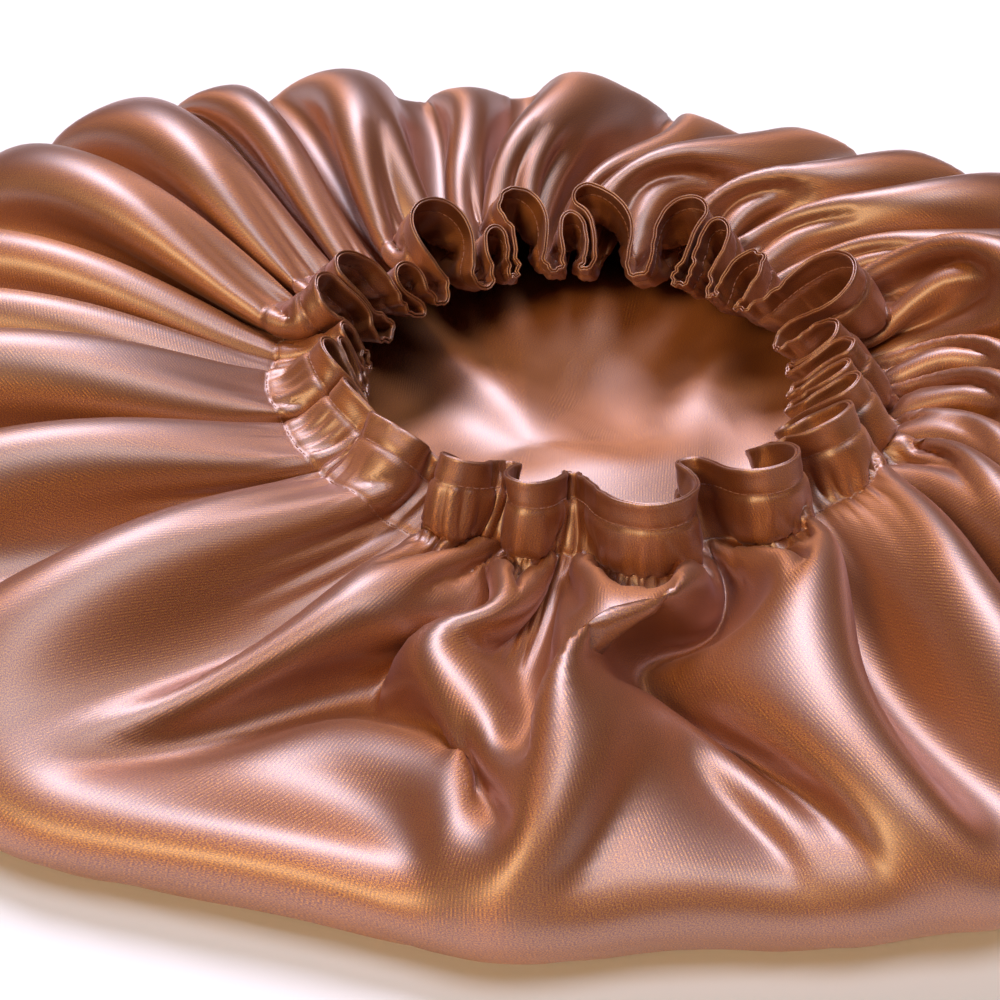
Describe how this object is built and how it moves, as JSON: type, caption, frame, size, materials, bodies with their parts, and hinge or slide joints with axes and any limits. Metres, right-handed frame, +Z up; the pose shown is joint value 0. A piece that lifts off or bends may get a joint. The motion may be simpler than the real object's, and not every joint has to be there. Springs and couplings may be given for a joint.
{
  "type": "sleep bonnet",
  "caption": "Round double-layer satin sleep bonnet gathered by an elastic casing under a ruffled edge, lying crown down with the head opening up.",
  "frame": {"origin": "on the floor under the middle of the head opening, on the crown's flat underside", "axes": "+Z up out of the head opening, -Y towards the front flute, +X to the right of it"},
  "size_m": [0.4057, 0.3886, 0.0632],
  "materials": {
    "rose_gold_satin": "shot satin with a soft sheen",
    "rose_gold_satin_lining": "shot satin with a soft sheen",
    "white_knitted_elastic": "matt knitted"
  },
  "bodies": {
    "root": {"outer_shell": "rose_gold_satin", "lining": "rose_gold_satin_lining", "elastic_band": "white_knitted_elastic"}
  },
  "joints": []
}
